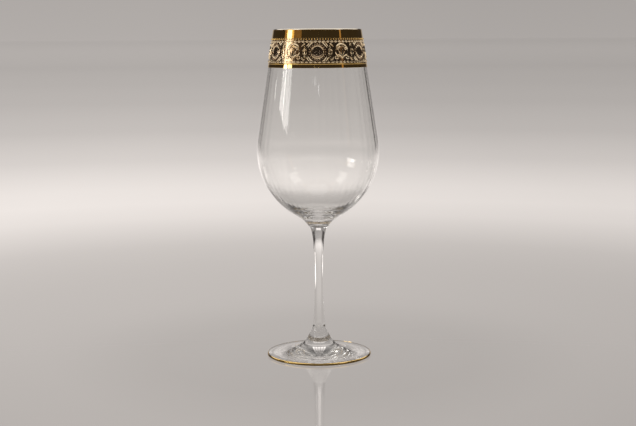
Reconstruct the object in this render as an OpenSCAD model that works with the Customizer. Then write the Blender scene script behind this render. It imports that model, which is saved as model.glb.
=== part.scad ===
// Water goblet of clear crystal: a bowl, a drawn stem and a foot, fused end to end,
// with a gilded relief band under the lip and a gold line round the foot.
// The origin is the middle of the foot, on the surface that it stands on. +Z is up.

/* [Bowl] */
// Height of the bowl, from its joint with the stem to the lip
bowl_h = 144; // [130:1:160]
// Outer diameter at the lip
lip_d = 64; // [58:0.5:70]
// Outer diameter at the belly, the widest place
belly_d = 89.4; // [82:0.2:98]
// Height of the belly above the joint with the stem
belly_h = 56.4; // [50:0.2:60]
// Radius of the round that runs from the belly down to the base
base_round_r = 54.6; // [52:0.2:58]
// Thickness of the wall
wall_t = 1.2; // [0.8:0.1:2]
// Depth of solid glass between the joint and the inside of the bowl
base_t = 9; // [6:0.5:14]
// Radius of the hollow where the base runs down to the collar
base_hollow_r = 26; // [14:0.5:32]
// Diameter of the collar, the lower end of the bowl, which stands out round the joint with the stem
collar_d = 14.2; // [12.8:0.1:17]

/* [Stem] */
// Length of the stem between its two joints
stem_h = 75; // [50:1:110]
// Diameter of the joint of bowl and stem
top_joint_d = 12.6; // [10:0.1:12.8]
// Diameter of the stem at its waist
waist_d = 6.4; // [5:0.1:8.5]
// Diameter of the joint of stem and foot
bottom_joint_d = 9.5; // [8.6:0.1:13]
// Length in which the flare under the bowl fades to about a third
top_flare = 8.2; // [5:0.1:10]
// Length in which the flare above the foot fades to about a third
bottom_flare = 11; // [5:0.5:16]

/* [Foot] */
// Height of the foot, from the table to its joint with the stem
foot_h = 21; // [14:0.5:30]
// Diameter of the foot, without its gold line
foot_d = 76.6; // [66:0.2:88]
// Thickness of the foot at its rim
foot_rim_t = 1.7; // [1.2:0.1:3]
// Distance in which the foot's cone falls to about a third of its height
foot_flare = 7.6; // [5:0.1:11]
// Width of the flat ring that the foot stands on
rest_ring_w = 5; // [2:0.5:10]
// Height of the hollow under the foot
foot_hollow_h = 1.2; // [0.4:0.1:2.5]

/* [Gilding] */
// Thickness of the gold layers
gold_t = 0.12; // [0.08:0.01:0.2]
// Hairline between the glass and the gold laid on it
gold_seat = 0.02; // [0.01:0.01:0.05]
// How far the gold wraps over the lip, from outside to inside, in degrees
lip_wrap = 150; // [90:5:170]
// Height of the plain band under the lip
rim_band_h = 5.9; // [3:0.1:10]
// Height of the strip that carries the row of beads
bead_strip_h = 1.5; // [1.2:0.1:2.5]
// Height of the frieze
frieze_h = 16.3; // [15:0.1:20]
// Height of the raised line under the frieze
fine_line_h = 0.8; // [0.5:0.1:1.5]
// Height of the plain band under the raised line
base_band_h = 2.5; // [1:0.1:4]
// How far up the foot's rounded edge the gold line starts, in degrees below its middle
foot_line_low = 50; // [30:5:60]
// How far over the foot's rounded edge the gold line ends, in degrees above its middle
foot_line_high = 70; // [40:5:80]

/* [Frieze] */
// Number of medallions round the frieze, each followed by a palmette under an arch
medallions = 6; // [4:1:6]
// Height of the relief above the ground
relief_h = 0.4; // [0.2:0.05:0.6]
// Width of the raised lines
line_w = 1.1; // [0.8:0.1:1.4]
// Clear ground left between neighbouring motifs and round them
motif_gap = 0.3; // [0.1:0.1:0.8]
// Height of the small leaves along both edges of the frieze
border_leaf_h = 1.4; // [1:0.1:2]
// Small leaves along each edge, for each medallion
border_leaves = 12; // [8:1:14]
// Diameter of the pearls round a medallion
pearl_d = 0.9; // [0.5:0.05:1.1]
// Number of pearls round a medallion
pearls = 20; // [12:1:24]
// Height of the boss in the middle of a medallion above the ground
boss_rise = 0.6; // [0.3:0.1:0.9]
// Diameter of the arch over a palmette, along the middle of its line
arch_d = 10; // [8:0.1:10.4]
// Diameter of the curl at each foot of an arch
curl_d = 2.8; // [1.8:0.1:3.2]
// Length of the longest petal of a palmette
petal_l = 7.8; // [5:0.1:8.4]
// Width of a petal
petal_w = 1.5; // [0.8:0.1:1.8]
// Width of the upright leaf beside a medallion
tall_leaf_w = 2.2; // [1.2:0.1:2.6]
// Diameter of the beads in the row above the frieze
bead_d = 1; // [0.6:0.05:1.15]
// Beads in that row, for each medallion
beads = 18; // [12:1:20]

/* [Hidden] */
$fn = 96;

// Colours
crystal = [0.86, 0.89, 0.88, 0.35];
bright_gold = [0.83, 0.62, 0.22];
relief_gold = [0.70, 0.50, 0.18];

// Heights of the joints and of the lip
bottom_joint_z = foot_h;
top_joint_z = bottom_joint_z + stem_h;
lip_z = top_joint_z + bowl_h;

// Radii
top_joint_r = top_joint_d / 2;
bottom_joint_r = bottom_joint_d / 2;
waist_r = waist_d / 2;
lip_r = wall_t / 2;
edge_r = foot_rim_t / 2;

// The point at given distances from two others, to the left of the way from the first to the second
function meet(p, from_p, q, from_q) =
    let (way = norm(q - p), u = (q - p) / way, along = (from_p ^ 2 - from_q ^ 2 + way ^ 2) / (2 * way))
    p + along * u + sqrt(from_p ^ 2 - along ^ 2) * [-u.y, u.x];

// Rounds of the bowl's section: the belly and base, the lip, and the bottom of the inside, which runs
// on from the inside of the wall without an edge
belly_c = [belly_d / 2 - base_round_r, top_joint_z + belly_h];
lip_c = [lip_d / 2 - lip_r, lip_z - lip_r];
inner_round_r = base_round_r - wall_t;
inner_low = top_joint_z + base_t;
inner_high = inner_low + inner_round_r;
inner_c = [0, (inner_high ^ 2 - belly_c * belly_c) / (2 * (inner_high - belly_c.y))];
bottom_round_r = inner_c.y - inner_low;

// Lean of the straight wall, which touches the rounds of the belly and of the lip
belly_to_lip = lip_c - belly_c;
lean = atan2(belly_to_lip.y, belly_to_lip.x) - acos((base_round_r - lip_r) / norm(belly_to_lip));
wall_out = [cos(lean), sin(lean)];
wall_down = [sin(lean), -cos(lean)];

// Centre of the hollow above the collar: it touches the round of the base and ends at the collar's edge
collar_edge = [collar_d / 2, top_joint_z];
hollow_c = meet(belly_c, base_round_r + base_hollow_r, collar_edge, base_hollow_r);

// Middle of the foot's rounded edge, and the round of the hollow under the foot
edge_c = [foot_d / 2 - edge_r, edge_r];
rest_in = edge_c.x - rest_ring_w;
foot_hollow_r = (rest_in ^ 2 + foot_hollow_h ^ 2) / (2 * foot_hollow_h);
foot_hollow_c = [0, foot_hollow_h - foot_hollow_r];

// Outer face of the gold layers, above the glass
gold_face = gold_seat + gold_t;

// Where each gold layer starts, as a distance down the wall from the lip
bead_strip_s = rim_band_h;
frieze_s = bead_strip_s + bead_strip_h;
fine_line_s = frieze_s + frieze_h;
base_band_s = fine_line_s + fine_line_h;

// Layout of the frieze, unrolled on the middle of its ground: x runs round it and y up it
frieze_mid_s = frieze_s + frieze_h / 2;
frieze_mid_r = (lip_c + lip_r * wall_out + frieze_mid_s * wall_down).x;
repeat_w = 2 * PI * frieze_mid_r / medallions;
motif_r = frieze_h / 2 - border_leaf_h - 2 * motif_gap;
pearl_ring_r = motif_r - pearl_d / 2;
ring_r = pearl_ring_r - pearl_d / 2 - motif_gap - line_w / 2;
boss_r = ring_r - line_w / 2 - motif_gap;

// An arch: a horseshoe over a palmette, whose feet curl outwards
arch_r = arch_d / 2;
arch_c = [0, motif_r - line_w / 2 - arch_r];
arch_end = -45;
curl_r = curl_d / 2;
curl_c = arch_c + (arch_r + curl_r) * [cos(arch_end), sin(arch_end)];
curl_start = arch_end + 180;
curl_turn = 400;
curl_tip_r = 0.36 * curl_r;

// Steps in round stretches
fine_steps = 24;
coarse_steps = 8;
arch_steps = 12;
curl_steps = 16;
leaf_steps = 6;
dome_rings = 3;
dome_sides = 16;

// Points of an arc from one angle to another
function arc(c, r, a0, a1, n) = [for (i = [0:n]) let (a = a0 + (a1 - a0) * i / n) c + r * [cos(a), sin(a)]];

// Direction of a vector, in degrees
function heading(v) = atan2(v.y, v.x);

// Radius of the stem at a height
function stem_r(z) = waist_r
    + (top_joint_r - waist_r) * exp(-(top_joint_z - z) / top_flare)
    + (bottom_joint_r - waist_r) * exp(-(z - bottom_joint_z) / bottom_flare);

// Height of the foot's upper side at a radius: steep beside the joint, level at the rim
foot_end = exp(-(edge_c.x - bottom_joint_r) / foot_flare);
function foot_top(r) = foot_rim_t
    + (foot_h - foot_rim_t) * (exp(-(r - bottom_joint_r) / foot_flare) - foot_end) / (1 - foot_end);

// A point of the bowl's section, down the straight wall from the lip and out from it
function on_wall(s, out) = lip_c + (lip_r + out) * wall_out + s * wall_down;

// A point of the unrolled frieze, on the bowl. The first medallion faces -Y.
function turn(x) = -90 + x / frieze_mid_r * 180 / PI;
function on_frieze(x, y, out) =
    let (p = on_wall(frieze_mid_s - y, out))
    [p.x * cos(turn(x)), p.x * sin(turn(x)), p.y];

// Section of a raised line at one point of its path: two feet on the ground and a narrower back
function line_section(p, along, w, h) =
    let (side = [along.y, -along.x] / norm(along))
    [for (q = [[1, 0], [0.45, 1], [-0.45, 1], [-1, 0]])
        on_frieze((p + side * q.x * w / 2).x, (p + side * q.x * w / 2).y, gold_face + q.y * h)];

// A gold layer on the straight wall, from one distance below the lip to another
module wall_layer(s0, s1, face) {
    rotate_extrude()
        polygon([on_wall(s0, gold_seat), on_wall(s1, gold_seat), on_wall(s1, face), on_wall(s0, face)]);
}

// A raised line along a path of the unrolled frieze, with a width and a height at each of its points
module raised_line(path, widths, heights, closed = false) {
    n = len(path);
    last = closed ? n - 1 : n - 2;
    function along(i) = closed
        ? path[(i + 1) % n] - path[(i + n - 1) % n]
        : path[min(i + 1, n - 1)] - path[max(i - 1, 0)];
    points = [for (i = [0:n - 1]) each line_section(path[i], along(i), widths[i], heights[i])];
    sides = [for (i = [0:last], k = [0:3])
        let (j = (i + 1) % n, m = (k + 1) % 4)
        each [[4 * i + k, 4 * i + m, 4 * j + m], [4 * i + k, 4 * j + m, 4 * j + k]]];
    e = 4 * (n - 1);
    ends = closed ? [] : [[0, 2, 1], [0, 3, 2], [e, e + 1, e + 2], [e, e + 2, e + 3]];
    polyhedron(points, concat(sides, ends));
}

// A leaf from a point of the unrolled frieze: broad in its lower half, with a slender tip
module leaf(base, angle, length, width) {
    t = [for (i = [0:leaf_steps]) i / leaf_steps];
    path = [for (u = t) base + length * u * [cos(angle), sin(angle)]];
    swell = [for (u = t) 0.15 + 0.85 * sin(180 * pow(u, 0.8))];
    raised_line(path, width * swell, relief_h * swell);
}

// Half a ball, standing on the frieze or on the strip above it
module half_ball(x, y, d) {
    translate(on_frieze(x, y, gold_face))
        rotate([0, 90 - lean, turn(x)])
            difference() {
                sphere(d = d);
                translate([0, 0, -d]) cube(2 * d, center = true);
            }
}

// A low dome over a circle on the middle line of the unrolled frieze
module low_dome(x, r, rise) {
    n = dome_sides;
    levels = [for (j = [0:dome_rings - 1], i = [0:n - 1])
        let (q = r * (1 - j / dome_rings), a = 360 * i / n)
        on_frieze(x + q * cos(a), q * sin(a), gold_face + rise * (1 - (q / r) ^ 2))];
    top = len(levels);
    skin = [for (j = [0:dome_rings - 2], i = [0:n - 1])
        let (k = (i + 1) % n, low = n * j, high = n * (j + 1))
        each [[low + i, high + i, low + k], [low + k, high + i, high + k]]];
    crown = [for (i = [0:n - 1]) [top - n + i, top, top - n + (i + 1) % n]];
    base = [for (i = [0:n - 1]) [i, (i + 1) % n, top + 1]];
    points = concat(levels, [on_frieze(x, 0, gold_face + rise), on_frieze(x, 0, gold_face)]);
    polyhedron(points, concat(skin, crown, base));
}

// Places the same motif once for each medallion, with a shift round the frieze
function repeats(shift) = [for (i = [0:medallions - 1]) repeat_w * i + shift];

module bowl() {
    hollow_low = heading(collar_edge - hollow_c);
    hollow_high = heading(belly_c - hollow_c);
    round_low = heading(hollow_c - belly_c);
    inner_turn = heading(inner_c - belly_c);
    color(crystal) rotate_extrude() polygon(concat(
        [[0, top_joint_z]],
        arc(hollow_c, base_hollow_r, hollow_low, hollow_high, coarse_steps),
        arc(belly_c, base_round_r, round_low, lean, fine_steps),
        arc(lip_c, lip_r, lean, lean + 180, coarse_steps),
        arc(belly_c, inner_round_r, lean, inner_turn, fine_steps),
        arc(inner_c, bottom_round_r, inner_turn, -90, fine_steps)));
}

module stem() {
    steps = 2 * fine_steps;
    color(crystal) rotate_extrude() polygon(concat(
        [[0, bottom_joint_z]],
        [for (i = [0:steps]) let (z = bottom_joint_z + stem_h * i / steps) [stem_r(z), z]],
        [[0, top_joint_z]]));
}

module foot() {
    spread = edge_c.x - bottom_joint_r;
    color(crystal) rotate_extrude() polygon(concat(
        arc(foot_hollow_c, foot_hollow_r, 90, asin(-foot_hollow_c.y / foot_hollow_r), coarse_steps),
        arc(edge_c, edge_r, -90, 90, 2 * coarse_steps),
        [for (i = [fine_steps - 1:-1:0])
            let (r = bottom_joint_r + spread * (i / fine_steps) ^ 2)
            [r, foot_top(r)]],
        [[0, foot_h]]));
}

module lip_gilding() {
    color(bright_gold) rotate_extrude() polygon(concat(
        arc(lip_c, lip_r + gold_seat, lean, lean + lip_wrap, coarse_steps),
        arc(lip_c, lip_r + gold_face, lean + lip_wrap, lean, coarse_steps)));
}

module rim_band() {
    color(bright_gold) wall_layer(0, bead_strip_s, gold_face);
}

module bead_strip() {
    color(relief_gold) wall_layer(bead_strip_s, frieze_s, gold_face);
}

module bead_row() {
    pitch = repeat_w / beads;
    row_y = (frieze_h + bead_strip_h) / 2;
    color(bright_gold) for (x = repeats(0), i = [0:beads - 1])
        half_ball(x + pitch * i, row_y, bead_d);
}

module frieze_ground() {
    color(relief_gold) wall_layer(frieze_s, fine_line_s, gold_face);
}

module medallion_rings() {
    ring = [for (i = [0:fine_steps - 1]) ring_r * [cos(360 * i / fine_steps), sin(360 * i / fine_steps)]];
    widths = [for (p = ring) line_w];
    heights = [for (p = ring) relief_h];
    color(bright_gold) for (x = repeats(0))
        raised_line([for (p = ring) [x + p.x, p.y]], widths, heights, true);
}

module medallion_pearls() {
    step = 360 / pearls;
    color(bright_gold) for (x = repeats(0), i = [0:pearls - 1])
        half_ball(x + pearl_ring_r * cos(step * i), pearl_ring_r * sin(step * i), pearl_d);
}

module medallion_bosses() {
    color(bright_gold) for (x = repeats(0)) low_dome(x, boss_r, boss_rise);
}

// Half an arch, from its top to the tip of its curl
function half_arch() = concat(
    arc(arch_c, arch_r, 90, arch_end, arch_steps),
    [for (i = [1:curl_steps])
        let (u = i / curl_steps, a = curl_start + curl_turn * u)
        curl_c + (curl_r + (curl_tip_r - curl_r) * u) * [cos(a), sin(a)]]);

module palmette_arches() {
    right = half_arch();
    n = len(right) - 1;
    path = concat([for (i = [n:-1:1]) [-right[i].x, right[i].y]], right);
    widths = [for (i = [-n:n]) line_w * (1 - 0.5 * abs(i) / n)];
    heights = [for (p = path) relief_h];
    color(bright_gold) for (x = repeats(repeat_w / 2))
        raised_line([for (p = path) [x + p.x, p.y]], widths, heights);
}

module palmettes() {
    root_y = line_w - motif_r;
    fan = 20;
    shorter = 0.17;
    color(bright_gold) for (x = repeats(repeat_w / 2), k = [-2:2])
        leaf([x, root_y], 90 - fan * k, petal_l * (1 - shorter * abs(k)), petal_w);
}

module tall_leaves() {
    color(bright_gold) for (x = repeats(repeat_w / 4), side = [0, repeat_w / 2])
        leaf([x + side, -motif_r], 90, 2 * motif_r, tall_leaf_w);
}

// A small pointed leaf on an edge of the frieze: up is 1 on the lower edge and -1 on the upper one
module border_leaf(x, up) {
    half_w = (repeat_w / border_leaves - motif_gap) / 2;
    edge = up * (motif_gap - frieze_h / 2);
    polyhedron(
        [on_frieze(x - up * half_w, edge, gold_face),
         on_frieze(x + up * half_w, edge, gold_face),
         on_frieze(x, edge + up * border_leaf_h, gold_face),
         on_frieze(x, edge + up * border_leaf_h / 3, gold_face + relief_h)],
        [[0, 1, 2], [0, 3, 1], [1, 3, 2], [2, 3, 0]]);
}

module border_leaf_rows() {
    pitch = repeat_w / border_leaves;
    color(bright_gold) for (x = repeats(pitch / 2), i = [0:border_leaves - 1], up = [1, -1])
        border_leaf(x + pitch * i, up);
}

module fine_line() {
    color(bright_gold) wall_layer(fine_line_s, base_band_s, gold_face + relief_h / 2);
}

module base_band() {
    color(bright_gold) wall_layer(base_band_s, base_band_s + base_band_h, gold_face);
}

module foot_line() {
    color(bright_gold) rotate_extrude() polygon(concat(
        arc(edge_c, edge_r + gold_seat, foot_line_high, -foot_line_low, 2 * coarse_steps),
        arc(edge_c, edge_r + gold_face, -foot_line_low, foot_line_high, 2 * coarse_steps)));
}

bowl();
stem();
foot();
lip_gilding();
rim_band();
bead_strip();
bead_row();
frieze_ground();
medallion_rings();
medallion_pearls();
medallion_bosses();
palmette_arches();
palmettes();
tall_leaves();
border_leaf_rows();
fine_line();
base_band();
foot_line();
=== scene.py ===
"""Looks of the water goblet: clear crystal, fired gold and a relief frieze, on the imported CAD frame."""

import math

import bmesh
import bpy
import numpy as np
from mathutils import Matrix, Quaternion, Vector


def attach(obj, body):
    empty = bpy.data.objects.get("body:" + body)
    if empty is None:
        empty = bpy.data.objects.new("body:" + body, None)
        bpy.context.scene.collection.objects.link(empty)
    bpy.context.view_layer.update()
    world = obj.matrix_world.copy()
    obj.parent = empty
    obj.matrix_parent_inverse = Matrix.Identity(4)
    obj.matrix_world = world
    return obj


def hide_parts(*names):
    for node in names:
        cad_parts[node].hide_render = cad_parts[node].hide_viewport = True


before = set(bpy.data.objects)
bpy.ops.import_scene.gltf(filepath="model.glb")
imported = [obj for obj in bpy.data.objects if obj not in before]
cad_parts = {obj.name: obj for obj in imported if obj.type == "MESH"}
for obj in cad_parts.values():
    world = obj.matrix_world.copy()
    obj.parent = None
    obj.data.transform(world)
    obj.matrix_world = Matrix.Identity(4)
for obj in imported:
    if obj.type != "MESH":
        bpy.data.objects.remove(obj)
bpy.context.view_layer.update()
scene = bpy.context.scene
scene.view_settings.view_transform = "Standard"
# Light finds its way out of solid crystal only after many reflections inside it
CRYSTAL_BOUNCES = 160
scene.cycles.max_bounces = CRYSTAL_BOUNCES
scene.cycles.glossy_bounces = CRYSTAL_BOUNCES
scene.cycles.transmission_bounces = CRYSTAL_BOUNCES
scene.cycles.transparent_max_bounces = 64

# Sizes of the goblet, in millimetres and degrees, as in the part's source
MM = 0.001
BOWL_H, LIP_D, BELLY_D, BELLY_H, BASE_ROUND_R = 144, 64, 89.4, 56.4, 54.6
WALL_T, BASE_T, BASE_HOLLOW_R, COLLAR_R = 1.2, 9, 26, 7.1
STEM_H, TOP_JOINT_R, WAIST_R, BOTTOM_JOINT_R, TOP_FLARE, BOTTOM_FLARE = 75, 6.3, 3.2, 4.75, 8.2, 11
FOOT_H, FOOT_D, FOOT_RIM_T, FOOT_FLARE, REST_RING_W, FOOT_HOLLOW_H = 21, 76.6, 1.7, 7.6, 5, 1.2
GOLD_T, GOLD_SEAT, LIP_WRAP = 0.12, 0.02, 150
RIM_BAND_H, BEAD_STRIP_H, FRIEZE_H, FINE_LINE_H, BASE_BAND_H = 5.9, 1.5, 16.3, 0.8, 2.5
FOOT_LINE_LOW, FOOT_LINE_HIGH = 50, 70
MEDALLIONS, RELIEF_H, LINE_W, MOTIF_GAP = 6, 0.4, 1.1, 0.3
BORDER_LEAF_H, BORDER_LEAVES, PEARL_D, PEARLS, BOSS_RISE = 1.4, 12, 0.9, 20, 0.6
ARCH_D, CURL_D, PETAL_L, PETAL_W, TALL_LEAF_W, BEAD_D, BEADS = 10, 2.8, 7.8, 1.5, 2.2, 1, 18
ARCH_END = -45

# Measures that follow from them: heights (Z), radii (R), points of the section (C) as radius and height, and
# distances from the lip down the wall (S)
BOTTOM_JOINT_Z = FOOT_H
TOP_JOINT_Z = FOOT_H + STEM_H
LIP_Z = TOP_JOINT_Z + BOWL_H
LIP_R = WALL_T / 2
BELLY_C = np.array([BELLY_D / 2 - BASE_ROUND_R, TOP_JOINT_Z + BELLY_H])
LIP_C = np.array([LIP_D / 2 - LIP_R, LIP_Z - LIP_R])
INNER_R = BASE_ROUND_R - WALL_T
INNER_LOW = TOP_JOINT_Z + BASE_T
INNER_HIGH = INNER_LOW + INNER_R
INNER_C = np.array([0, (INNER_HIGH ** 2 - BELLY_C @ BELLY_C) / (2 * (INNER_HIGH - BELLY_C[1]))])
BOTTOM_R = INNER_C[1] - INNER_LOW
REACH = LIP_C - BELLY_C
LEAN = math.atan2(REACH[1], REACH[0]) - math.acos((BASE_ROUND_R - LIP_R) / np.hypot(*REACH))
LEAN_DEG = math.degrees(LEAN)
WALL_OUT = np.array([math.cos(LEAN), math.sin(LEAN)])
WALL_DOWN = np.array([math.sin(LEAN), -math.cos(LEAN)])
EDGE_R = FOOT_RIM_T / 2
EDGE_C = np.array([FOOT_D / 2 - EDGE_R, EDGE_R])
GOLD_FACE = GOLD_SEAT + GOLD_T
BEAD_STRIP_S = RIM_BAND_H
FRIEZE_S = BEAD_STRIP_S + BEAD_STRIP_H
FINE_LINE_S = FRIEZE_S + FRIEZE_H
BASE_BAND_S = FINE_LINE_S + FINE_LINE_H
FRIEZE_MID_S = FRIEZE_S + FRIEZE_H / 2
FRIEZE_MID_R = (LIP_C + LIP_R * WALL_OUT + FRIEZE_MID_S * WALL_DOWN)[0]
REPEAT_W = 2 * math.pi * FRIEZE_MID_R / MEDALLIONS
MOTIF_R = FRIEZE_H / 2 - BORDER_LEAF_H - 2 * MOTIF_GAP
PEARL_RING_R = MOTIF_R - PEARL_D / 2
RING_R = PEARL_RING_R - PEARL_D / 2 - MOTIF_GAP - LINE_W / 2
BOSS_R = RING_R - LINE_W / 2 - MOTIF_GAP
ARCH_R = ARCH_D / 2
ARCH_C = np.array([0, MOTIF_R - LINE_W / 2 - ARCH_R])

# Detail that the looks add, in millimetres and degrees
SEGS = 288
CREASE = 35
LEAF_END_W, LEAF_END_H, LOBE_DEPTH = 0.12, 0.25, 0.16
# The bowl's inside is faintly rippled: waves round it as (share, number, phase), and their depth at heights
RIPPLE_WAVES = [(0.6, 48, 0), (0.3, 31, 1), (0.3, 19, 2)]
RIPPLE_HEIGHTS, RIPPLE_DEPTHS = [106, 116, 140, 165], [0, 0.03, 0.03, 0.045]
RIPPLE_TOP, RIPPLE_FADE = 238, 20
LAYER_EASE_W, LAYER_EASE_H, FINE_LINE_CROWN = 0.04, 0.03, 0.12
LIP_STEPS, FOOT_LINE_STEPS = 16, 24
BALL_SIDES, BALL_RINGS = 14, 5
BOSS_SIDES, BOSS_RINGS, BOSS_EDGE, BOSS_DOME = 72, 28, 0.3, 0.08
REED_H, REED_PITCH = 0.016, 0.7
RING_STEPS = 72
CURL_TURN, CURL_SHRINK, ARCH_TAPER = 400, 0.64, 0.5
PETAL_STEP, PETAL_BEND, PETAL_SHORTER = 20, 10, 0.17
# Small leaves on both sides of each tall leaf: (height up its half, lean, length, width, bend of the tip)
SIDE_LEAVES = [(0, 58, 3.6, 1.3, 26), (3.9, 50, 2.5, 1.0, 18), (3.9, -50, 2.1, 0.9, -18)]
# Curved leaves in the corners round each medallion: (radius, from, to)
CORNER_LEAVES, CORNER_LEAF_W, CORNER_STEPS = [(7.35, 202, 247), (8.5, 206, 231)], 0.9, 24
# Leaves that hang under each arch, at angles round its middle
FAN_ANGLES, FAN_R, FAN_LEAF_L, FAN_LEAF_W, FAN_RISE = np.linspace(18, 162, 9), 4.4, 1.9, 1.15, 0.9
# Scales of the noise in glass and gold, per metre, or per radian round the axis; the waves' height in metres
WAVE_SCALE, WAVE_H, PATCH_SCALE, STROKES_ROUND, STROKES_UP = 45, 0.00004, 260, 2.0, 2600

# Sections of the relief, as (share of the half width, share of the height)
ROOF = [(1, 0), (0.93, 0.06), (0.8, 0.22), (0.2, 0.88), (0.08, 0.97), (0, 1),
        (-0.08, 0.97), (-0.2, 0.88), (-0.8, 0.22), (-0.93, 0.06), (-1, 0)]
ROUND = [(1, 0), (0.92, 0.42), (0.7, 0.75), (0.36, 0.95), (0, 1),
         (-0.36, 0.95), (-0.7, 0.75), (-0.92, 0.42), (-1, 0)]
CREST = [(1, 0), (0.72, 0.08), (0.48, 0.3), (0.34, 0.7), (0.2, 0.94), (0, 1),
         (-0.2, 0.94), (-0.34, 0.7), (-0.48, 0.3), (-0.72, 0.08), (-1, 0)]
RIBBED = [(1, 0), (0.9, 0.4), (0.6, 0.62), (0.22, 0.5), (0.1, 0.9), (0, 1),
          (-0.1, 0.9), (-0.22, 0.5), (-0.6, 0.62), (-0.9, 0.4), (-1, 0)]
SPOON = [(1, 0), (0.95, 0.6), (0.78, 1), (0.5, 0.75), (0, 0.42),
         (-0.5, 0.75), (-0.78, 1), (-0.95, 0.6), (-1, 0)]

# Stage, in metres: the table's tones of painted light by distance from the goblet, the backdrop's by the sine
# of the angle up
FLOOR_TONES = [(0.00, 0.314), (0.12, 0.312), (0.21, 0.345), (0.36, 0.342), (0.44, 0.35), (0.54, 0.374),
               (0.65, 0.443), (0.785, 0.523), (0.94, 0.558), (1.12, 0.531), (1.34, 0.462), (1.61, 0.374),
               (2.42, 0.244), (3.92, 0.15), (6.0, 0.098), (10.0, 0.05)]
SKY_TONES = [(-0.05, 0.40), (0.0, 0.40), (0.026, 0.385), (0.17, 0.33), (0.34, 0.20), (0.57, 0.08),
             (1.0, 0.04)]
WARM = (1.07, 1.0, 0.955)
TABLE_R, TABLE_SIDES, TABLE_Z = 400, 96, -0.0001
# Spots of light painted on the table beside the goblet, where the stem's edges show light falling
GLINTS = [(0.191, 0.244), (0.228, 0.29), (0.265, 0.339), (0.32, 0.41), (0.382, 0.489),
          (-0.287, 0.249), (-0.34, 0.295), (-0.415, 0.361)]
GLINT, GLINT_IN, GLINT_OUT = 2.5, 0.03, 0.075
# The table's painted light as glass shows it, and its painted shade far out at the sides
TABLE_IN_GLASS, TABLE_ASIDE, ASIDE_FROM, ASIDE_TO, ASIDE_SLOPE = 1.12, 0.05, 0.5, 0.8, 0.36
# Refractions on the way straight through the bowl are 4, and through an edge, the stem or the foot 2
EDGE_DEPTH = 3.5
DARK_WALL, SIDE_WALL, HIGH_GLOW = (0.035, 0.030, 0.027), (0.22, 0.206, 0.196), (1.2, 1.14, 1.07)
WINDOW, PANE_HALF, WINDOW_HALF = 3.0, 0.041, 0.205
KEY_WHITE, FILL_WHITE, TOP_WHITE = (1.0, 0.97, 0.92), (1.0, 0.97, 0.94), (1.0, 0.97, 0.93)
AMBER, YELLOW = (1.0, 0.62, 0.28), (1.0, 0.72, 0.25)
SENSOR_W, PHOTO_W, FOCAL_PX, TILT_PX, ROLL = 36, 636, 1315, 175, -0.34
CAMERA_AT = (-0.0003, -0.960, 0.2337)


class Graph:
    """The shader nodes of a material or a world. Its methods add a node each and return what comes out of it.
    They take sockets or plain values."""

    def __init__(self, owner):
        owner.use_nodes = True
        self.nodes = owner.node_tree.nodes
        self.links = owner.node_tree.links

    def feed(self, socket, value):
        """Link a socket to another one, or set it to a value."""
        if isinstance(value, bpy.types.NodeSocket):
            self.links.new(value, socket)
        else:
            socket.default_value = value

    def coords(self, kind):
        return self.nodes.new("ShaderNodeTexCoord").outputs[kind]

    def light_path(self):
        return self.nodes.new("ShaderNodeLightPath").outputs

    def split(self, vector):
        """The X, Y and Z of a vector."""
        node = self.nodes.new("ShaderNodeSeparateXYZ")
        self.feed(node.inputs[0], vector)
        return tuple(node.outputs)

    def maths(self, operation, *values):
        node = self.nodes.new("ShaderNodeMath")
        node.operation = operation
        for socket, value in zip(node.inputs, values):
            self.feed(socket, value)
        return node.outputs[0]

    def measure(self, operation, *vectors):
        """A number from vectors, such as a length."""
        node = self.nodes.new("ShaderNodeVectorMath")
        node.operation = operation
        for socket, value in zip(node.inputs, vectors):
            self.feed(socket, value)
        return node.outputs["Value"]

    def spread(self, value, low, high, start, end):
        """A value from start..end to low..high, and no further."""
        node = self.nodes.new("ShaderNodeMapRange")
        limits = (("From Min", start), ("From Max", end), ("To Min", low), ("To Max", high))
        for name, given in (("Value", value), *limits):
            self.feed(node.inputs[name], given)
        return node.outputs["Result"]

    def step(self, value, start, end):
        """0 below start and 1 above end, or the other way round where end is the lower one."""
        if start < end:
            return self.spread(value, 0, 1, start, end)
        return self.spread(value, 1, 0, end, start)

    def blend(self, share, first, second):
        """The first number where share is 0, the second where it is 1."""
        node = self.nodes.new("ShaderNodeMix")
        for name, value in (("Factor", share), ("A", first), ("B", second)):
            self.feed(node.inputs[name], value)
        return node.outputs["Result"]

    def blend_colours(self, share, first, second):
        """The first colour where share is 0, the second where it is 1."""
        node = self.nodes.new("ShaderNodeMix")
        node.data_type = "RGBA"
        self.feed(node.inputs["Factor"], share)
        for name, colour in (("A", first), ("B", second)):
            self.feed(node.inputs[name], (*colour, 1) if isinstance(colour, tuple) else colour)
        return node.outputs["Result"]

    def tones(self, value, tones):
        """A grey, slightly warm, from tones at given values."""
        node = self.nodes.new("ShaderNodeValToRGB")
        stops = node.color_ramp.elements
        while len(stops) < len(tones):
            stops.new(0.5)
        low, high = tones[0][0], tones[-1][0]
        for stop, (place, tone) in zip(stops, tones):
            stop.position = (place - low) / (high - low)
            stop.color = (*(tone * w for w in WARM), 1)
        self.feed(node.inputs[0], self.spread(value, 0, 1, low, high))
        return node.outputs["Color"]

    def noise(self, vector, scale, detail, rough=0.5):
        node = self.nodes.new("ShaderNodeTexNoise")
        for name, value in (("Vector", vector), ("Scale", scale), ("Detail", detail), ("Roughness", rough)):
            self.feed(node.inputs[name], value)
        return node.outputs["Fac"]

    def bump(self, height, distance, normal=None):
        node = self.nodes.new("ShaderNodeBump")
        for name, value in (("Strength", 1.0), ("Distance", distance), ("Height", height)):
            self.feed(node.inputs[name], value)
        if normal is not None:
            self.feed(node.inputs["Normal"], normal)
        return node.outputs["Normal"]


# Materials

def new_material(name):
    """A new material: (material, its graph, the inputs of its Principled shader)."""
    material = bpy.data.materials.new(name)
    graph = Graph(material)
    return material, graph, graph.nodes["Principled BSDF"].inputs


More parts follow.
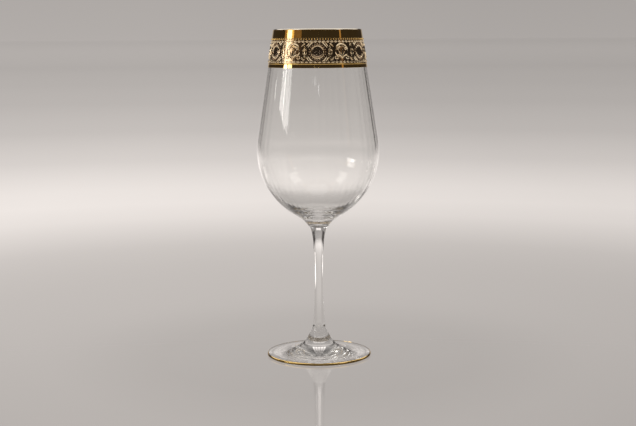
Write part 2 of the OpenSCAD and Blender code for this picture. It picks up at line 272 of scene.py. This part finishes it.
def crystal_material():
    """Clear crystal, fire-polished: a faint lazy waviness in an otherwise perfect surface."""
    material, graph, shader = new_material("crystal")
    shader["Base Color"].default_value = (1.0, 1.0, 0.995, 1)
    shader["Roughness"].default_value = 0.0
    shader["IOR"].default_value = 1.5
    shader["Transmission Weight"].default_value = 1.0
    wave = graph.noise(graph.coords("Object"), WAVE_SCALE, 1.0)
    graph.feed(shader["Normal"], graph.bump(wave, WAVE_H))
    return material


def joint_material():
    """The face inside a fused joint, where glass runs on into glass and nothing shows."""
    material, _, shader = new_material("fused_joint")
    shader["Base Color"].default_value = (1, 1, 1, 1)
    shader["Alpha"].default_value = 0.0
    return material


def gold_material(name, light, deep, rough, grain_scale, grain, brush):
    """Fired gold: brushed on round the glass, with a fine grain and patches that are more or less burnished.
    It has two colours, a range of roughness, and the height of its grain and brush marks in metres."""
    material, graph, shader = new_material(name)
    coords = graph.coords("Object")
    patches = graph.noise(coords, PATCH_SCALE, 4.0)
    fine = graph.noise(coords, grain_scale, 2.0)
    x, y, z = graph.split(coords)
    wound = graph.nodes.new("ShaderNodeCombineXYZ")
    graph.feed(wound.inputs["X"], graph.maths("MULTIPLY", graph.maths("ARCTAN2", y, x), STROKES_ROUND))
    graph.feed(wound.inputs["Y"], graph.maths("MULTIPLY", z, STROKES_UP))
    strokes = graph.noise(wound.outputs[0], 1.0, 3.0, 0.6)
    graph.feed(shader["Base Color"], graph.blend_colours(graph.step(patches, 0.3, 0.7), light, deep))
    worn = graph.maths("MULTIPLY_ADD", strokes, 0.6, patches)
    graph.feed(shader["Roughness"], graph.spread(worn, *rough, 0.5, 1.1))
    shader["Metallic"].default_value = 1.0
    graph.feed(shader["Normal"], graph.bump(strokes, brush, graph.bump(fine, grain)))
    return material


CRYSTAL = crystal_material()
JOINT = joint_material()
BRIGHT = gold_material("bright_gold", (0.93, 0.66, 0.25), (0.86, 0.57, 0.19), (0.03, 0.09), 3000, 2e-6, 4e-6)
RELIEF = gold_material("relief_gold", (0.96, 0.81, 0.57), (0.88, 0.68, 0.42), (0.04, 0.09), 4200, 6e-6, 2e-6)
# Paler gold for the lip: a painted highlight that brightens the line along the lip's top
LIP_PAINTED_PALE = gold_material("lip_gold", (0.98, 0.92, 0.80), (0.95, 0.85, 0.66), (0.03, 0.08), 3000, 2e-6, 4e-6)
UNDER = gold_material("gold_underside", (0.88, 0.82, 0.73), (0.8, 0.73, 0.62), (0.25, 0.35), 4200, 4e-6, 2e-6)
# Gold for the medallions' middles, its colour painted darker than the relief's: painted shade
MEDAL_PAINTED_DARK = gold_material("medallion_gold", (0.66, 0.49, 0.34), (0.5, 0.36, 0.23), (0.10, 0.18), 5200, 1e-5, 2e-6)
# Duller gold for the frieze's ground, the strip above it and the pearls, its colour painted darker than the
# relief's: painted shade between the relief and on the pearls
GROUND_PAINTED_DARK = gold_material("matt_gold", (0.62, 0.45, 0.29), (0.44, 0.31, 0.19), (0.10, 0.18), 5200, 1e-5, 2e-6)


# Meshes

def piece(name, parts, materials, slot, *nodes, face_slots=None):
    """One object from (vertices in millimetres, faces) pairs. It rides on the goblet and stands for nodes."""
    verts, faces, base = [], [], 0
    for part_verts, part_faces in parts:
        verts.append(np.asarray(part_verts, float))
        faces += [tuple(i + base for i in face) for face in part_faces]
        base += len(part_verts)
    mesh = bpy.data.meshes.new(name)
    mesh.from_pydata((np.concatenate(verts) * MM).tolist(), [], faces)
    for material in materials:
        mesh.materials.append(material)
    if face_slots is not None:
        mesh.polygons.foreach_set("material_index", face_slots)
    bm = bmesh.new()
    bm.from_mesh(mesh)
    bmesh.ops.recalc_face_normals(bm, faces=bm.faces)
    bm.to_mesh(mesh)
    bm.free()
    mesh.polygons.foreach_set("use_smooth", [True] * len(mesh.polygons))
    mesh.set_sharp_from_angle(angle=math.radians(CREASE))
    obj = bpy.data.objects.new(name, mesh)
    scene.collection.objects.link(obj)
    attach(obj, "root")
    if nodes:
        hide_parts(*nodes)


def round_steps(count):
    """Angles evenly round a circle, in radians."""
    return np.linspace(0, 2 * math.pi, count, endpoint=False)


def ray(angle):
    """The unit vector at an angle in degrees."""
    return np.array([math.cos(math.radians(angle)), math.sin(math.radians(angle))])


def heading(v):
    """The angle of a vector, in degrees."""
    return math.degrees(math.atan2(v[1], v[0]))


def arc(c, r, start, end, steps):
    """Points of an arc, by its angles in degrees."""
    a = np.radians(np.linspace(start, end, steps + 1))
    return np.c_[c[0] + r * np.cos(a), c[1] + r * np.sin(a)]


def meet(p, from_p, q, from_q):
    """The point at given distances from two others, to the left of the way from the first to the second."""
    way = np.hypot(*(q - p))
    forward = (q - p) / way
    along = (from_p ** 2 - from_q ** 2 + way ** 2) / (2 * way)
    return p + along * forward + math.sqrt(from_p ** 2 - along ** 2) * np.array([-forward[1], forward[0]])


def shell(inner, outer):
    """A closed section between two lines of points that run the same way."""
    return np.concatenate([inner, outer[::-1]])


def lathe(section, ripple=None):
    """A section turned round Z. It runs from axis to axis, or is closed on itself where it stays off it.
    ripple gives each point's own depth of the waves round the axis."""
    section = np.asarray(section, float)
    ripple = np.zeros(len(section)) if ripple is None else ripple
    turn = round_steps(SEGS)
    wave = sum(share * np.cos(number * turn + phase) for share, number, phase in RIPPLE_WAVES)
    verts, rows = [], []
    for (r, z), depth in zip(section, ripple):
        if r < 1e-9:
            rows.append([len(verts)] * SEGS)
            verts.append((0, 0, z))
            continue
        rows.append(list(range(len(verts), len(verts) + SEGS)))
        waved = r + wave * depth
        verts += list(zip(waved * np.cos(turn), waved * np.sin(turn), np.full(SEGS, z)))
    on_axis = section[0][0] < 1e-9
    faces = []
    for i in range(len(section) - 1 if on_axis else len(section)):
        row, following = rows[i], rows[(i + 1) % len(section)]
        for k in range(SEGS):
            ahead = (k + 1) % SEGS
            quad = (row[k], row[ahead], following[ahead], following[k])
            faces.append(tuple(dict.fromkeys(quad)))
    return verts, faces


def on_wall(s, out):
    """A point of the bowl's section, s down the straight wall from the lip and out from it."""
    s, out = np.broadcast_arrays(np.asarray(s, float), np.asarray(out, float))
    return LIP_C + (LIP_R + out)[..., None] * WALL_OUT + s[..., None] * WALL_DOWN


def on_frieze(x, y, out):
    """A point of the unrolled frieze, on the bowl. The first medallion faces -Y."""
    p = on_wall(FRIEZE_MID_S - np.asarray(y, float), out)
    a = -math.pi / 2 + np.asarray(x, float) / FRIEZE_MID_R
    return np.stack([p[..., 0] * np.cos(a), p[..., 0] * np.sin(a), p[..., 1]], -1)


def ridge(path, widths, heights, section, closed=False):
    """A raised strip along a path of the unrolled frieze, with a width and a height at each of its points."""
    path = np.asarray(path, float)
    count, sides = len(path), len(section)
    widths = np.broadcast_to(widths, count)
    heights = np.broadcast_to(heights, count)
    if closed:
        along = np.roll(path, -1, 0) - np.roll(path, 1, 0)
    else:
        along = np.gradient(path, axis=0)
    along = along / np.linalg.norm(along, axis=1)[:, None]
    across = np.c_[along[:, 1], -along[:, 0]]
    offset, rise = np.array(section, float).T
    flat = path[:, None, :] + across[:, None, :] * (offset[None, :, None] * widths[:, None, None] / 2)
    verts = on_frieze(flat[..., 0], flat[..., 1], GOLD_FACE + rise[None, :] * heights[:, None]).reshape(-1, 3)
    faces = []
    for i in range(count if closed else count - 1):
        j = (i + 1) % count
        for k in range(sides):
            ahead = (k + 1) % sides
            faces.append((i * sides + k, i * sides + ahead, j * sides + ahead, j * sides + k))
    if not closed:
        faces.append(tuple(range(sides)))
        faces.append(tuple(range((count - 1) * sides, count * sides)))
    return verts, faces


def leaf(base, angle, length, width, height, section, lobes=0, bend=0.0, steps=20):
    """A leaf from a point of the unrolled frieze: broad in its lower half, with a slender tip.
    lobes cuts its edge into lobes, and bend turns its tip to one side, in degrees."""
    u = np.linspace(0, 1, steps)
    a = np.radians(angle + bend * u)
    moves = length / (steps - 1) * np.c_[np.cos(a), np.sin(a)][:-1]
    path = np.array(base) + np.concatenate([[[0, 0]], np.cumsum(moves, 0)])
    swell = LEAF_END_W + (1 - LEAF_END_W) * np.sin(np.pi * u ** 0.8)
    edge = 1 + (LOBE_DEPTH * np.cos(2 * np.pi * lobes * u) if lobes else 0 * u)
    return ridge(path, width * swell * edge, height * (LEAF_END_H + (1 - LEAF_END_H) * swell), section)


def dome_faces(sides, rings):
    """Faces of a dome from its rings of points, the lowest first, and its top."""
    faces = []
    for j in range(rings - 1):
        low, high = j * sides, (j + 1) * sides
        for k in range(sides):
            ahead = (k + 1) % sides
            faces.append((low + k, low + ahead, high + ahead, high + k))
    last, top = (rings - 1) * sides, rings * sides
    faces += [(last + k, last + (k + 1) % sides, top) for k in range(sides)]
    faces.append(tuple(range(sides)))
    return faces


def half_ball(x, y, d):
    """Half a ball that stands on the frieze or on the strip above it."""
    t = round_steps(BALL_SIDES)
    verts = []
    for j in range(BALL_RINGS):
        e = math.pi / 2 * j / BALL_RINGS
        r = d / 2 * math.cos(e)
        verts.append(on_frieze(x + r * np.cos(t), y + r * np.sin(t), GOLD_FACE + d / 2 * math.sin(e)))
    verts.append(on_frieze([x], [y], [GOLD_FACE + d / 2]))
    return np.concatenate(verts), dome_faces(BALL_SIDES, BALL_RINGS)


def boss():
    """The low flat middle of a medallion: a rounded edge and a ground of faint upright reeds."""
    t = round_steps(BOSS_SIDES)
    verts = []
    for j in range(BOSS_RINGS):
        q = 1 - (j / BOSS_RINGS) ** 1.6
        x, y = BOSS_R * q * np.cos(t), BOSS_R * q * np.sin(t)
        rise = BOSS_RISE * (BOSS_EDGE * (1 - q ** 8) + BOSS_DOME * (1 - q ** 2))
        reeds = REED_H * np.cos(x * 2 * math.pi / REED_PITCH) * np.clip((0.9 - q) / 0.08, 0, 1)
        verts.append(on_frieze(x, y, GOLD_FACE + rise + reeds))
    verts.append(on_frieze([0.0], [0.0], [GOLD_FACE + (BOSS_EDGE + BOSS_DOME) * BOSS_RISE + REED_H]))
    return np.concatenate(verts), dome_faces(BOSS_SIDES, BOSS_RINGS)


def all_round(parts):
    """The same motifs once for each medallion."""
    out = []
    for i in range(MEDALLIONS):
        a = 2 * math.pi * i / MEDALLIONS
        turn = np.array([[math.cos(a), math.sin(a), 0], [-math.sin(a), math.cos(a), 0], [0, 0, 1]])
        out += [(np.asarray(verts) @ turn, faces) for verts, faces in parts]
    return out


# Crystal

def bowl_section():
    """The bowl's section, from the middle of its joint to the middle of its inside, and its ripple."""
    collar = np.array([COLLAR_R, TOP_JOINT_Z])
    hollow_c = meet(BELLY_C, BASE_ROUND_R + BASE_HOLLOW_R, collar, BASE_HOLLOW_R)
    turn = heading(INNER_C - BELLY_C)
    outside = np.concatenate([
        arc(hollow_c, BASE_HOLLOW_R, heading(collar - hollow_c), heading(BELLY_C - hollow_c), 30)[:-1],
        arc(BELLY_C, BASE_ROUND_R, heading(hollow_c - BELLY_C), LEAN_DEG, 110)])
    lip = arc(LIP_C, LIP_R, LEAN_DEG, LEAN_DEG + 180, LIP_STEPS)
    straight = np.linspace(0, 1, 60)[1:-1, None]
    up = outside[-1] + (lip[0] - outside[-1]) * straight
    inside = arc(BELLY_C, INNER_R, LEAN_DEG, turn, 60)
    down = lip[-1] + (inside[0] - lip[-1]) * straight
    floor = arc(INNER_C, BOTTOM_R, turn, -90, 80)[1:]
    floor[-1, 0] = 0
    joint = [[0, TOP_JOINT_Z], [TOP_JOINT_R, TOP_JOINT_Z]]
    section = np.concatenate([joint, outside, up, lip, down, inside, floor])
    first = len(joint) + len(outside) + len(up) + len(lip)
    z = section[first:, 1]
    ripple = np.zeros(len(section))
    fade = np.clip((RIPPLE_TOP - z) / RIPPLE_FADE, 0, 1)
    ripple[first:] = fade * np.interp(z, RIPPLE_HEIGHTS, RIPPLE_DEPTHS)
    return section, ripple


def stem_section():
    """The stem's section: a waist that flares to both joints."""
    z = np.linspace(BOTTOM_JOINT_Z, TOP_JOINT_Z, 121)
    r = (WAIST_R + (TOP_JOINT_R - WAIST_R) * np.exp(-(TOP_JOINT_Z - z) / TOP_FLARE)
         + (BOTTOM_JOINT_R - WAIST_R) * np.exp(-(z - BOTTOM_JOINT_Z) / BOTTOM_FLARE))
    return np.concatenate([[[0, BOTTOM_JOINT_Z]], np.c_[r, z], [[0, TOP_JOINT_Z]]])


def foot_section():
    """The foot's section from the middle of its hollow, out on the table, round the edge and up the cone."""
    rest_in = EDGE_C[0] - REST_RING_W
    hollow_r = (rest_in ** 2 + FOOT_HOLLOW_H ** 2) / (2 * FOOT_HOLLOW_H)
    hollow_end = math.degrees(math.asin((hollow_r - FOOT_HOLLOW_H) / hollow_r))
    hollow = arc((0, FOOT_HOLLOW_H - hollow_r), hollow_r, 90, hollow_end, 40)
    hollow[0, 0] = 0
    edge = arc(EDGE_C, EDGE_R, -90, 90, 28)
    r = BOTTOM_JOINT_R + (EDGE_C[0] - BOTTOM_JOINT_R) * np.linspace(1, 0, 90)[1:] ** 2
    end = math.exp(-(EDGE_C[0] - BOTTOM_JOINT_R) / FOOT_FLARE)
    top = FOOT_RIM_T + (FOOT_H - FOOT_RIM_T) * (np.exp(-(r - BOTTOM_JOINT_R) / FOOT_FLARE) - end) / (1 - end)
    return np.concatenate([hollow, edge, np.c_[r, top], [[0, FOOT_H]]])


def crystal(name, node, section, low_joint, high_joint, ripple=None):
    """A piece of glass. The faces that its section starts or ends with may lie inside a fused joint."""
    verts, faces = lathe(section, ripple)
    slots = [0] * len(faces)
    if low_joint:
        slots[:SEGS] = [1] * SEGS
    if high_joint:
        slots[-SEGS:] = [1] * SEGS
    piece(name, [(verts, faces)], [CRYSTAL, JOINT], "crystal", node, face_slots=slots)


outline, depths = bowl_section()
crystal("bowl_crystal", "bowl", outline, True, False, depths)
crystal("stem_crystal", "stem", stem_section(), True, True)
crystal("foot_crystal", "foot", foot_section(), False, True)


# Plain gold

def wall_layer(start, end, crown=0.0, steps=8):
    """A gold layer on the straight wall, with its edges eased and its middle raised by crown."""
    ease = LAYER_EASE_W / (end - start)
    u = np.concatenate([[0], np.linspace(ease, 1 - ease, steps + 1), [1]])
    face = GOLD_FACE - LAYER_EASE_H * ((u == 0) | (u == 1)) + crown * np.sin(np.pi * u) ** 0.6
    s = start + (end - start) * u
    return lathe(shell(on_wall(s, GOLD_SEAT), on_wall(s, face)))


def edge_layer(c, r, start, end, steps):
    """A gold layer round an edge of the glass, between two angles of its section."""
    return lathe(shell(arc(c, r + GOLD_SEAT, start, end, steps), arc(c, r + GOLD_FACE, start, end, steps)))


lip_layer = edge_layer(LIP_C, LIP_R, LEAN_DEG, LEAN_DEG + LIP_WRAP, LIP_STEPS)
fine_layer = wall_layer(FINE_LINE_S, BASE_BAND_S, FINE_LINE_CROWN, 12)
base_layer = wall_layer(BASE_BAND_S, BASE_BAND_S + BASE_BAND_H)
foot_layer = edge_layer(EDGE_C, EDGE_R, -FOOT_LINE_LOW, FOOT_LINE_HIGH, FOOT_LINE_STEPS)
# The foot's glass shows the inside of its gold line
foot_slots = [1] * FOOT_LINE_STEPS * SEGS + [0] * (FOOT_LINE_STEPS + 2) * SEGS
piece("lip_gold", [lip_layer], [LIP_PAINTED_PALE], "bright_gold", "lip_gilding")
piece("rim_band_gold", [wall_layer(0, BEAD_STRIP_S)], [BRIGHT], "bright_gold", "rim_band")
piece("fine_line_gold", [fine_layer], [BRIGHT], "bright_gold", "fine_line")
piece("base_band_gold", [base_layer], [BRIGHT], "bright_gold", "base_band")
piece("foot_line_gold", [foot_layer], [BRIGHT, UNDER], "bright_gold", "foot_line", face_slots=foot_slots)


# Frieze

def relief(name, parts, material, *nodes):
    """A piece of the frieze, from the motifs of one repeat."""
    piece(name, all_round(parts), [material], "relief_gold", *nodes)


def bead_row():
    """The beads on the strip above the frieze."""
    pitch = REPEAT_W / BEADS
    return [half_ball(pitch * i, (FRIEZE_H + BEAD_STRIP_H) / 2, BEAD_D) for i in range(BEADS)]


def medallion_ring():
    """The ring of a medallion."""
    t = round_steps(RING_STEPS)
    return [ridge(RING_R * np.c_[np.cos(t), np.sin(t)], LINE_W, RELIEF_H, CREST, True)]


def medallion_pearls():
    """The pearls round a medallion."""
    return [half_ball(PEARL_RING_R * math.cos(a), PEARL_RING_R * math.sin(a), PEARL_D)
            for a in round_steps(PEARLS)]


def arch():
    """The arch over a palmette, from one curled foot to the other."""
    curl_r = CURL_D / 2
    curl_c = ARCH_C + (ARCH_R + curl_r) * ray(ARCH_END)
    u = np.linspace(0, 1, 49)[1:]
    a = np.radians(ARCH_END + 180 + CURL_TURN * u)
    spiral = curl_c + (curl_r * (1 - CURL_SHRINK * u))[:, None] * np.c_[np.cos(a), np.sin(a)]
    half = np.concatenate([arc(ARCH_C, ARCH_R, 90, ARCH_END, 40), spiral])
    path = np.concatenate([half[:0:-1] * [-1, 1], half]) + [REPEAT_W / 2, 0]
    last = len(half) - 1
    widths = LINE_W * (1 - ARCH_TAPER * np.abs(np.arange(-last, last + 1)) / last)
    return [ridge(path, widths, RELIEF_H, ROOF)]


def palmette():
    """The fan of petals under an arch."""
    base = (REPEAT_W / 2, LINE_W - MOTIF_R)
    return [leaf(base, 90 - PETAL_STEP * k, PETAL_L * (1 - PETAL_SHORTER * abs(k)), PETAL_W, RELIEF_H, SPOON,
                 bend=-PETAL_BEND * k) for k in range(-2, 3)]


def tall_leaves():
    """The upright leaves on both sides of a palmette."""
    return [leaf((x, -MOTIF_R), 90, 2 * MOTIF_R, TALL_LEAF_W, RELIEF_H, RIBBED, lobes=6, steps=50)
            for x in (REPEAT_W / 4, 3 * REPEAT_W / 4)]


def foliage():
    """Small leaves that fill the ground between the motifs."""
    leaves = []
    swell = 0.15 + 0.85 * np.sin(np.linspace(0.05, np.pi - 0.05, CORNER_STEPS))
    for side in (1, -1):
        for up in (1, -1):
            low = -up * (MOTIF_R - 0.1)
            for height, lean, length, width, bend in SIDE_LEAVES:
                base = (side * REPEAT_W / 4, low + up * height)
                leaves.append(leaf(base, up * (90 - lean * side), length, width, RELIEF_H, RIBBED,
                                   bend=up * side * bend))
            for r, start, end in CORNER_LEAVES:
                path = arc((0, 0), r, start, end, CORNER_STEPS - 1) * [-side, up]
                leaves.append(ridge(path, CORNER_LEAF_W * swell, RELIEF_H * swell, ROOF))
    for a in FAN_ANGLES:
        base = ARCH_C + [REPEAT_W / 2, 0] + FAN_R * ray(a)
        leaves.append(leaf(base, a + 180, FAN_LEAF_L, FAN_LEAF_W, RELIEF_H * FAN_RISE, SPOON, steps=10))
    return leaves


def border_leaves():
    """The small leaves along both edges of the frieze."""
    pitch = REPEAT_W / BORDER_LEAVES
    leaves = []
    for i in range(BORDER_LEAVES):
        for up, section in ((1, RIBBED), (-1, ROUND)):
            base = (pitch * (i + 0.5), up * (MOTIF_GAP - FRIEZE_H / 2))
            leaves.append(leaf(base, 90 * up, BORDER_LEAF_H, pitch - MOTIF_GAP, RELIEF_H, section, steps=9))
    return leaves


piece("bead_strip_gold", [wall_layer(BEAD_STRIP_S, FRIEZE_S)], [GROUND_PAINTED_DARK], "relief_gold", "bead_strip")
relief("bead_row_gold", bead_row(), BRIGHT, "bead_row")
ground_layer = wall_layer(FRIEZE_S, FINE_LINE_S, steps=30)
piece("frieze_ground_gold", [ground_layer], [GROUND_PAINTED_DARK], "relief_gold", "frieze_ground")
relief("medallion_rings_gold", medallion_ring(), RELIEF, "medallion_rings")
relief("medallion_pearls_gold", medallion_pearls(), GROUND_PAINTED_DARK, "medallion_pearls")
relief("medallion_bosses_gold", [boss()], MEDAL_PAINTED_DARK, "medallion_bosses")
relief("palmette_arches_gold", arch(), RELIEF, "palmette_arches")
relief("palmettes_gold", palmette(), RELIEF, "palmettes")
relief("tall_leaves_gold", tall_leaves(), RELIEF, "tall_leaves")
relief("frieze_foliage_gold", foliage(), RELIEF)
relief("border_leaves_gold", border_leaves(), RELIEF, "border_leaf_rows")


# Stage, light and camera

def floor_material():
    """A pale glossy table with painted light: lighter away from the goblet and then fading, and lighter on
    the left, where the key light falls. Its own painted light shows to the eye, and also in gold and glass;
    lamps add to it, so it keeps the shadow. In reflections it is painted darker close round the foot and
    brighter further out.
    To rays that cross one thickness of glass, as at an edge, it is painted dark far out at the sides, and
    glass alone shows the painted spots of light beside the goblet."""
    material, graph, shader = new_material("pale_table")
    shader["Base Color"].default_value = (0.15, 0.142, 0.135, 1)
    shader["Roughness"].default_value = 0.05
    place = graph.coords("Object")
    away = graph.measure("LENGTH", place)
    x, y, _ = graph.split(place)
    path = graph.light_path()
    # Painted shade: to rays through an edge of glass the table is darker far out at the sides
    behind = graph.maths("MULTIPLY", graph.maths("MAXIMUM", y, 0.0), ASIDE_SLOPE)
    aside = graph.maths("SUBTRACT", graph.maths("ABSOLUTE", x), behind)
    at_edge = graph.maths("LESS_THAN", path["Transmission Depth"], EDGE_DEPTH)
    painted_shade_aside = graph.spread(aside, TABLE_IN_GLASS, TABLE_ASIDE, ASIDE_FROM, ASIDE_TO)
    through = graph.blend(at_edge, TABLE_IN_GLASS, painted_shade_aside)
    # Painted highlights: spots of light on the table that only glass shows
    for spot in GLINTS:
        gap = graph.measure("DISTANCE", place, (*spot, 0))
        through = graph.maths("ADD", through, graph.spread(gap, GLINT, 0, GLINT_IN, GLINT_OUT))
    # Painted shadow: in reflections the table is darker close round the foot, and painted brighter further
    # out
    painted_light_in_gold = graph.spread(away, 0.2, 1.7, 0.042, 0.2)
    seen = graph.blend(path["Is Transmission Ray"], painted_light_in_gold, through)
    seen = graph.blend(path["Is Camera Ray"], seen, 1.0)
    glow = graph.nodes.new("ShaderNodeEmission")
    graph.feed(glow.inputs["Color"], graph.tones(away, FLOOR_TONES))
    # Painted light: the table is lighter on the left, where the key light falls
    graph.feed(glow.inputs["Strength"], graph.maths("MULTIPLY", seen, graph.spread(x, 1.08, 0.92, -0.4, 0.4)))
    both = graph.nodes.new("ShaderNodeAddShader")
    graph.feed(both.inputs[0], graph.nodes["Principled BSDF"].outputs[0])
    graph.feed(both.inputs[1], glow.outputs[0])
    graph.feed(graph.nodes["Material Output"].inputs["Surface"], both.outputs[0])
    return material


def add_table():
    """A round table that reaches to the horizon."""
    t = round_steps(TABLE_SIDES)
    mesh = bpy.data.meshes.new("table")
    verts = np.c_[TABLE_R * np.cos(t), TABLE_R * np.sin(t), 0 * t]
    mesh.from_pydata(verts.tolist(), [], [tuple(range(TABLE_SIDES))])
    mesh.materials.append(floor_material())
    table = bpy.data.objects.new("table", mesh)
    table.location.z = TABLE_Z
    scene.collection.objects.link(table)


def studio():
    """The room: a pale backdrop behind, which the eye sees all over, and dim elsewhere. Glass shows it higher
    up, with paler walls at the sides and a window in five panes; gold and glass mirror a glow high at the
    back."""
    world = bpy.data.worlds.new("studio")
    graph = Graph(world)
    background = graph.nodes["Background"].inputs
    x, y, z = graph.split(graph.coords("Generated"))
    path = graph.light_path()
    in_glass = path["Is Transmission Ray"]
    high = graph.maths("MULTIPLY", graph.step(z, 0.17, 0.21), graph.step(y, 0.58, 0.68))
    back = graph.maths("MAXIMUM", graph.step(y, 0.87, 0.95), graph.maths("MULTIPLY", high, in_glass))
    aside = graph.maths("MAXIMUM", graph.step(graph.maths("ABSOLUTE", y), 0.4, 0.2), graph.step(z, 0.5, 0.62))
    wall = graph.blend_colours(graph.maths("MULTIPLY", aside, in_glass), DARK_WALL, SIDE_WALL)
    backdrop = graph.maths("MAXIMUM", back, path["Is Camera Ray"])
    room = graph.blend_colours(backdrop, wall, graph.tones(z, SKY_TONES))
    sweep = graph.maths("MULTIPLY", graph.step(z, 0.36, 0.44), graph.step(y, 0.35, 0.5))
    mirrored = graph.maths("SUBTRACT", path["Is Glossy Ray"], in_glass)
    glow = graph.maths("MULTIPLY", sweep, mirrored)
    graph.feed(background["Color"], graph.blend_colours(glow, room, HIGH_GLOW))
    across = graph.maths("DIVIDE", x, graph.maths("MAXIMUM", y, 0.01))
    bars = graph.maths("PINGPONG", graph.maths("ADD", across, WINDOW_HALF), PANE_HALF)
    panes = in_glass
    for limit in (graph.step(bars, 0.005, 0.01), graph.step(graph.maths("ABSOLUTE", across), 0.21, 0.2),
                  graph.step(z, 0.14, 0.2), graph.step(z, 0.8, 0.74)):
        panes = graph.maths("MULTIPLY", panes, limit)
    strength = graph.spread(x, 1.04, 0.96, -0.12, 0.12)
    graph.feed(background["Strength"], graph.maths("ADD", strength, graph.maths("MULTIPLY", panes, WINDOW)))
    return world


def softbox(name, azimuth, distance, z, size, radiance, colour=(1, 1, 1), aim=None):
    """A rectangular soft light, evenly bright. Its azimuth is from the camera, in degrees to the right.
    It stands upright, or is turned to a height above the table."""
    a = math.radians(azimuth)
    where = Vector((distance * math.sin(a), -distance * math.cos(a), z))
    light = bpy.data.lights.new(name, "AREA")
    light.shape = "RECTANGLE"
    light.size, light.size_y = size
    light.energy = radiance * math.pi * size[0] * size[1]
    light.color = colour
    obj = bpy.data.objects.new(name, light)
    obj.location = where
    target = Vector((0, 0, z if aim is None else aim))
    obj.rotation_euler = (target - where).to_track_quat("-Z", "Y").to_euler()
    obj.visible_camera = False
    scene.collection.objects.link(obj)
    return obj


add_table()
scene.world = studio()
softbox("key_low", -78.5, 1.05, 0.402, (0.17, 0.09), 7.0, KEY_WHITE)
softbox("key_side", -66.8, 1.05, 0.411, (0.2, 0.108), 3.6, KEY_WHITE)
softbox("key_high", -74.5, 1.05, 0.525, (0.258, 0.12), 3.7, KEY_WHITE)
softbox("key_thin", -103, 1.05, 0.347, (0.03, 0.03), 5.0, KEY_WHITE)
softbox("amber_edge", -64, 1.05, 0.522, (0.082, 0.108), 0.9, YELLOW)
softbox("amber_outer", -86, 1.05, 0.512, (0.134, 0.13), 0.4, AMBER)
softbox("amber_left", -52, 1.1, 0.545, (0.44, 0.05), 0.18, AMBER)
softbox("amber_right", 60, 1.3, 0.62, (0.09, 0.6), 0.38, AMBER)
softbox("slit", 2.5, 1.5, 0.592, (0.05, 0.028), 3.6)
softbox("slit_left", -6.6, 1.5, 0.610, (0.03, 0.014), 2.0)
softbox("upper_left", -65, 1.3, 1.25, (0.5, 0.5), 1.5, FILL_WHITE, aim=0.2)
softbox("upper_right", 65, 1.3, 1.25, (0.5, 0.5), 1.2, FILL_WHITE, aim=0.2)
top = softbox("top", 180, 0.2, 1.6, (2.0, 2.0), 0.9, TOP_WHITE, aim=0.2)
top.visible_transmission = False

camera = bpy.data.objects.new("camera", bpy.data.cameras.new("camera"))
camera.data.sensor_width = SENSOR_W
camera.data.lens = FOCAL_PX / PHOTO_W * SENSOR_W
camera.location = CAMERA_AT
tilt = Quaternion((1, 0, 0), math.radians(90) - math.atan2(TILT_PX, FOCAL_PX))
camera.rotation_euler = (tilt @ Quaternion((0, 0, 1), math.radians(ROLL))).to_euler()
scene.collection.objects.link(camera)
scene.camera = camera
